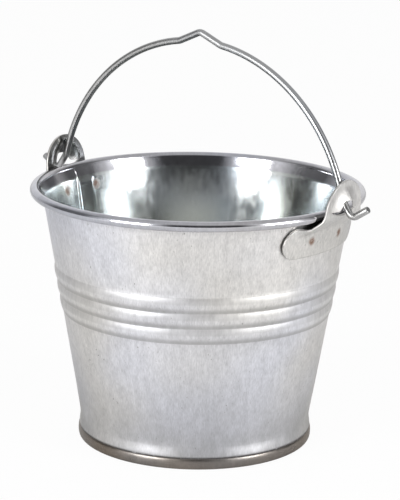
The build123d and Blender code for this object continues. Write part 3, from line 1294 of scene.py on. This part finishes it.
@dataclass
class Bail:
    """The wire bail: an arch with a raised grip, and a hook at each end.

    Attributes:
        plan: shared sizes.
        wire: diameter of the wire.
        spread: from the rim out to the arch's end.
        arch_end_rise: from the swing axis up to the arch's end.
        arch_drop: from the arch's end down to its circle's centre.
        grip_half_width: half the width of the raised grip.
        grip_rise: from the arch's top up to the grip's corner.
        hook_lead: straight length between the arch and the hook.
        hook_bottom: the hook's lower corner, out and up from where the wire meets the axis.
        hook_tip: the wire's end, from the same place.
        hook_bend: radius of the hook's bends.
        grip_bend: radius of the grip's top bend.
        shoulder_bend: radius of the bends beside the grip.
        shoulder_turn: degrees from the shoulder's corner to the arch's first point.
        arch_points: points along the arch.
        end_round: radius of the wire's cut edge.
        sides: columns round the wire.
    """

    plan: Plan
    wire: float = 2.5
    spread: float = 0.37
    arch_end_rise: float = 5.2
    arch_drop: float = 16.6
    grip_half_width: float = 9.0
    grip_rise: float = 3.3
    hook_lead: float = 2.4
    hook_bottom: Pair = (4.63, -3.2)
    hook_tip: Pair = (11.13, 1.0)
    hook_bend: float = 2.2
    grip_bend: float = 3.0
    shoulder_bend: float = 5.0
    shoulder_turn: float = 2.6
    arch_points: int = 150
    end_round: float = 0.35
    sides: int = 28

    def half(self) -> Array:
        """Return half the wire's middle line: part of a circle between a grip and a hook.

        Returns:
            Distance out and height of each point, from the grip's top to one tip.
        """
        end = np.array([self.plan.rim_outer + self.spread,
                        self.plan.swing_height + self.arch_end_rise])
        centre = (0.0, end[1] - self.arch_drop)
        radius = float(np.hypot(end[0], self.arch_drop))
        slope = np.array([self.arch_drop, -end[0]]) / radius
        base = np.array([end[0], self.plan.swing_height])
        first = np.degrees(np.arccos(self.grip_half_width / radius))
        last = np.degrees(np.arcsin(self.arch_drop / radius))
        arch = arc(centre, radius, first - self.shoulder_turn, last, self.arch_points)
        shoulder = arc(centre, radius, first, first, 1)[0]
        top = np.array([0.0, centre[1] + radius + self.grip_rise])
        mirrored = shoulder * np.array([-1.0, 1.0])
        grip = rounded_path(np.array([mirrored, top, shoulder, arch[0]]),
                            [self.grip_bend, self.shoulder_bend], 18)
        grip = grip[grip[:, 0] >= 0.0][:-1]
        corners = [arch[-1], end + self.hook_lead * slope, base + self.hook_bottom,
                   base + self.hook_tip]
        hook = rounded_path(np.array(corners), [self.hook_bend] * 2, 16)
        return np.concatenate([grip, arch, hook[1:]])

    def build(self) -> bpy.types.Object:
        """Build the wire: a circle carried along the middle line, with rounded ends.

        A point is the line's point plus the wire's radius times the cosine of its angle along
        the line's normal and the sine along Y.

        Returns:
            The bail.
        """
        half = self.half()
        line = np.concatenate([half[::-1] * np.array([-1.0, 1.0]), half])
        distance = path_length(line)
        spaced = np.concatenate([[True], np.diff(distance) > 1e-4])
        line, distance = line[spaced], distance[spaced]
        along = np.gradient(line, distance, axis=0)
        along /= np.linalg.norm(along, axis=1)[:, None]
        radius = np.full(len(line), self.wire / 2.0)
        turn = np.linspace(0.0, np.pi / 2.0, 7)[1:]
        edge = self.end_round
        shrink = self.wire / 2.0 - edge + edge * np.cos(turn)
        push = edge * np.sin(turn)
        start = line[0] - along[0] * (push - edge)[:, None]
        finish = line[-1] + along[-1] * (push - edge)[:, None]
        line = np.concatenate([[start[-1]], start[::-1], line[1:-1], finish, [finish[-1]]])
        radius = np.concatenate([[0.0], shrink[::-1], radius[1:-1], shrink, [0.0]])
        ends = len(turn) + 1
        along = np.concatenate([np.repeat(along[:1], ends, 0), along[1:-1],
                                np.repeat(along[-1:], ends, 0)])
        turn = np.linspace(0.0, 2.0 * np.pi, self.sides, endpoint=False)[None, :, None]
        normal = np.stack([-along[:, 1], np.zeros(len(line)), along[:, 0]], axis=1)
        middle = np.stack([line[:, 0], np.zeros(len(line)), line[:, 1]], axis=1)
        across = np.cos(turn) * normal[:, None] + np.sin(turn) * np.array([0.0, 1.0, 0.0])
        points = middle[:, None] + radius[:, None, None] * across
        around = np.linspace(0.0, 1.0, self.sides + 1) * np.pi * self.wire
        bail = Surface(points[::-1], wraps_columns=True,
                       unroll=(path_length(line)[::-1], around)).build("bail_wire")
        join_doubles(bail)
        return bail

    def dress(self) -> None:
        """Build the bail, give it its drawn-wire finish and let it ride on its body."""
        bail = self.build()
        finish = Zinc("steel_wire", (0.45, 0.455, 0.46), (0.12, 0.115, 0.11), roughness=0.31,
                      spread=0.10, grain=0.02, patches=0.14, mottling=0.03, grain_depth=0.0004,
                      specks=0.25, tints=((1.02, 1.0, 0.97), (0.98, 0.995, 1.02)))
        bail.data.materials.append(finish.make())
        add_piece(bail, "bail", "bail_handle")


def add_piece(piece: bpy.types.Object, body: str, node: str) -> None:
    """Let a piece ride on a body in place of a CAD node.

    Args:
        piece: the finished piece.
        body: the body it moves with.
        node: the CAD node it stands for.
    """
    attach(piece, body)
    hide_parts(node)
    log.info("built %s for %s: %d faces", piece.name, node, len(piece.data.polygons))


# ---------------------------------------------------------------- studio

@dataclass(frozen=True)
class Lamp:
    """A soft rectangular lamp that faces the bucket.

    Attributes:
        name: the lamp's name.
        azimuth: degrees to the camera's right of it, seen from the bucket.
        elevation: degrees above the floor.
        away: distance in metres.
        size: the lamp's width and height in metres.
        power: in watts.
    """

    name: str
    azimuth: float
    elevation: float
    away: float
    size: Pair
    power: float


@dataclass
class Studio:
    """The floor, lamps, surroundings and camera.

    Attributes:
        turn: degrees that the camera stands round from -Y towards +X.
        distance: from the bucket's axis to the camera, along the floor, in millimetres.
        height: the camera's height in millimetres.
        pitch: degrees that the camera looks down.
        roll: degrees that it is rolled.
        yaw: degrees that it is turned off the bucket's axis.
        lens: focal length on a 36 mm sensor, in millimetres.
        ring: the room's brightness round the horizon, from the backdrop to the backdrop.
        ceiling: the room's brightness overhead.
        ceiling_turn: degrees above the horizon over which the ring gives way to the ceiling.
        lamps: the two soft lamps.
        aim: height that the lamps face, in metres.
        floor_white: share of plain white in the floor, as the camera sees it.
    """

    turn: float = 36.0
    distance: float = 754.3
    height: float = 258.4
    pitch: float = 14.10
    roll: float = 0.90
    yaw: float = 0.08
    lens: float = 154.55
    ring: tuple[Pair, ...] = (
        (0.0, 0.90), (0.11, 0.75), (0.19, 0.14), (0.27, 0.20), (0.32, 0.95), (0.41, 0.95),
        (0.45, 0.06), (0.58, 0.06), (0.62, 0.85), (0.70, 0.90), (0.75, 0.18), (0.82, 0.12),
        (0.90, 0.75), (1.0, 0.90),
    )
    ceiling: float = 0.62
    ceiling_turn: Pair = (28.0, 62.0)
    lamps: tuple[Lamp, ...] = (
        Lamp("soft_left", -45.0, 13.0, 1.2, (0.50, 0.50), 8.8),
        Lamp("soft_right", 57.0, 13.0, 1.2, (0.46, 0.50), 8.0),
    )
    aim: float = 0.06
    floor_white: float = 0.95

    def camera(self) -> None:
        """Make the camera and look along its direction."""
        turn, pitch, roll, yaw = np.radians([self.turn, self.pitch, self.roll, self.yaw])
        heading = yaw - turn
        forward = Vector((np.sin(heading) * np.cos(pitch), np.cos(heading) * np.cos(pitch),
                          -np.sin(pitch)))
        right = Vector((np.cos(heading), -np.sin(heading), 0.0))
        up = right.cross(forward)
        right, up = (right * np.cos(roll) + up * np.sin(roll),
                     up * np.cos(roll) - right * np.sin(roll))
        place = Vector((np.sin(turn) * self.distance, -np.cos(turn) * self.distance,
                        self.height)) * MM
        data = bpy.data.cameras.new("camera")
        data.lens = self.lens
        data.sensor_width = 36.0
        data.clip_start = 0.01
        camera = bpy.data.objects.new("camera", data)
        bpy.context.scene.collection.objects.link(camera)
        camera.matrix_world = Matrix((
            (right.x, up.x, -forward.x, place.x),
            (right.y, up.y, -forward.y, place.y),
            (right.z, up.z, -forward.z, place.z),
            (0.0, 0.0, 0.0, 1.0),
        ))
        bpy.context.scene.camera = camera

    def hang(self, lamp: Lamp) -> None:
        """Hang a lamp and turn it to the bucket.

        Args:
            lamp: the lamp's place, size and power.
        """
        data = bpy.data.lights.new(lamp.name, "AREA")
        data.shape = "RECTANGLE"
        data.size, data.size_y = lamp.size
        data.energy = lamp.power
        hung = bpy.data.objects.new(lamp.name, data)
        bpy.context.scene.collection.objects.link(hung)
        turn, rise = np.radians(self.turn + lamp.azimuth), np.radians(lamp.elevation)
        place = Vector((np.sin(turn) * np.cos(rise), -np.cos(turn) * np.cos(rise),
                        np.sin(rise))) * lamp.away
        hung.location = Vector((0.0, 0.0, self.aim)) + place
        hung.rotation_euler = place.to_track_quat("Z", "Y").to_euler()

    def floor(self) -> None:
        """Lay a plain pale floor under the bucket."""
        ring = np.radians(np.linspace(0.0, 360.0, 96, endpoint=False))[None, :]
        away = np.array([0.0, 200.0, 1000.0, 6000.0])[:, None]
        level = np.full_like(away * ring, -0.02)
        grid = np.stack([away * np.cos(ring), away * np.sin(ring), level], axis=2)
        floor = Surface(grid[::-1], wraps_columns=True).build("floor", smooth=False)
        join_doubles(floor)
        material = bpy.data.materials.new("pale_floor")
        material.use_nodes = True
        graph = Graph(material.node_tree)
        inputs = {"Base Color": (0.90, 0.90, 0.90, 1.0), "Roughness": 0.9}
        matt = graph.node("ShaderNodeBsdfPrincipled", {}, inputs).socket(0)
        white = graph.node("ShaderNodeEmission", {}, {"Color": (1.0, 1.0, 1.0, 1.0)}).socket(0)
        seen = graph.node("ShaderNodeLightPath").value("Is Camera Ray") * self.floor_white
        shader = graph.node("ShaderNodeMixShader", {}, {0: seen, 1: matt, 2: white})
        graph.node("ShaderNodeOutputMaterial", {}, {"Surface": shader.socket(0)})
        floor.data.materials.append(material)

    def surroundings(self) -> None:
        """Set the room: a white backdrop, a bright ceiling, and dark behind and beside the camera.

        The ramp's middle is the camera's side and its ends are the backdrop's side. The camera
        sees plain white, and every other ray sees the ramp and the ceiling.
        """
        world = bpy.data.worlds.new("studio_room")
        world.use_nodes = True
        graph = Graph(world.node_tree)
        direction = graph.node("ShaderNodeTexCoord").socket("Generated")
        split = graph.node("ShaderNodeSeparateXYZ", {}, {0: direction})
        turn = np.radians(self.turn)
        side = split.value(0) * float(np.cos(turn)) + split.value(1) * float(np.sin(turn))
        toward = split.value(0) * float(np.sin(turn)) - split.value(1) * float(np.cos(turn))
        around = side.math("ARCTAN2", toward) * float(0.5 / np.pi) + 0.5
        stops = [(place, (glow, glow, glow * 1.01)) for place, glow in self.ring]
        ring = graph.node("ShaderNodeValToRGB", {"stops": stops}, {0: around}).socket(0)
        low, high = (float(np.sin(np.radians(angle))) for angle in self.ceiling_turn)
        up = split.value(2).ramp(low, high)
        room = graph.mix(up, ring, (self.ceiling, self.ceiling, self.ceiling))
        seen = graph.node("ShaderNodeLightPath").value("Is Camera Ray")
        room = graph.mix(seen, room, (1.0, 1.0, 1.0))
        glow = graph.node("ShaderNodeBackground", {}, {"Color": room, "Strength": 1.0})
        graph.node("ShaderNodeOutputWorld", {}, {"Surface": glow.socket(0)})
        bpy.context.scene.world = world

    def build(self) -> None:
        """Set up the floor, lamps, surroundings and camera."""
        bpy.context.scene.view_settings.view_transform = "Standard"
        self.surroundings()
        self.floor()
        for lamp in self.lamps:
            self.hang(lamp)
        self.camera()
        log.info("set up the studio")


def main() -> None:
    """Build every sub-assembly in order."""
    logging.basicConfig(level=logging.INFO, format="%(message)s")
    plan = Plan()
    Studio().build()
    Body(plan).build()
    Ear(plan, "ear_right", "right_ear", 1).dress()
    Ear(plan, "ear_left", "left_ear", -1).dress()
    Bail(plan).dress()


if __name__ == "__main__":
    main()
